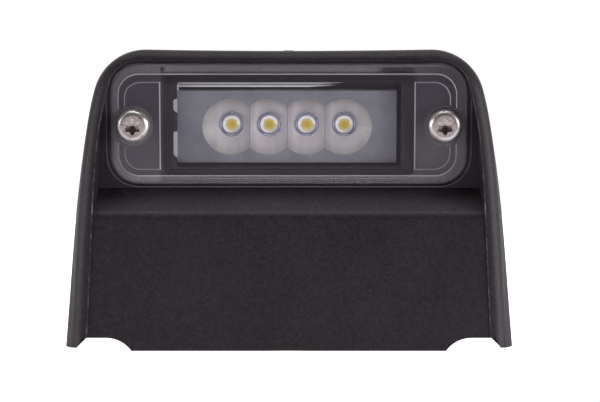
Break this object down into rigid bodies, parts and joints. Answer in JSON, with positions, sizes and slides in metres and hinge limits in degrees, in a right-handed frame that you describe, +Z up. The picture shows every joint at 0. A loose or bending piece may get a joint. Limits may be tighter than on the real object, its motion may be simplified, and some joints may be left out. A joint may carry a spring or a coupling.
{
  "type": "number plate lamp",
  "caption": "Black moulded hood on a flat open base, with a tilted clear lens over a row of light-emitting diodes that lights a vehicle's number plate.",
  "frame": {"origin": "under the middle of the lamp's box, on the plane of its base", "axes": "+X along the lamp's width, +Y from the lens side towards the back, +Z up, away from the wall it is screwed to"},
  "size_m": [0.1088, 0.0494, 0.071],
  "materials": {
    "black_plastic": "fine moulded texture, satin",
    "clear_plastic": "clear, polished",
    "screw_steel": "passivated, bright",
    "tub_plastic": "smooth, satin",
    "black_rubber": "matt",
    "pale_plastic": "smooth, pale grey",
    "board_laminate": "solder mask, satin",
    "led_base": "dark, satin",
    "led_white": "white",
    "led_yellow": "phosphor, matt",
    "clear_silicone": "clear, polished",
    "chip_black": "moulding compound, matt",
    "capacitor_tan": "ceramic, satin",
    "tinned_brass": "tinned",
    "insert_brass": "turned, knurled"
  },
  "bodies": {
    "root": {"hood_housing": "black_plastic", "lens_cover": "clear_plastic", "lens_screws": "screw_steel", "module_tub": "tub_plastic", "lens_seal": "black_rubber", "cable_grommet": "black_rubber", "reflector_plate": "pale_plastic", "circuit_board": "board_laminate", "led_packages": "led_base", "led_cups": "led_white", "led_phosphors": "led_yellow", "led_domes": "clear_silicone", "driver_ic": "chip_black", "polarity_diode": "chip_black", "surge_suppressor": "chip_black", "resistors": "chip_black", "capacitors": "capacitor_tan", "wire_terminals": "tinned_brass", "threaded_inserts": "insert_brass"}
  },
  "joints": []
}
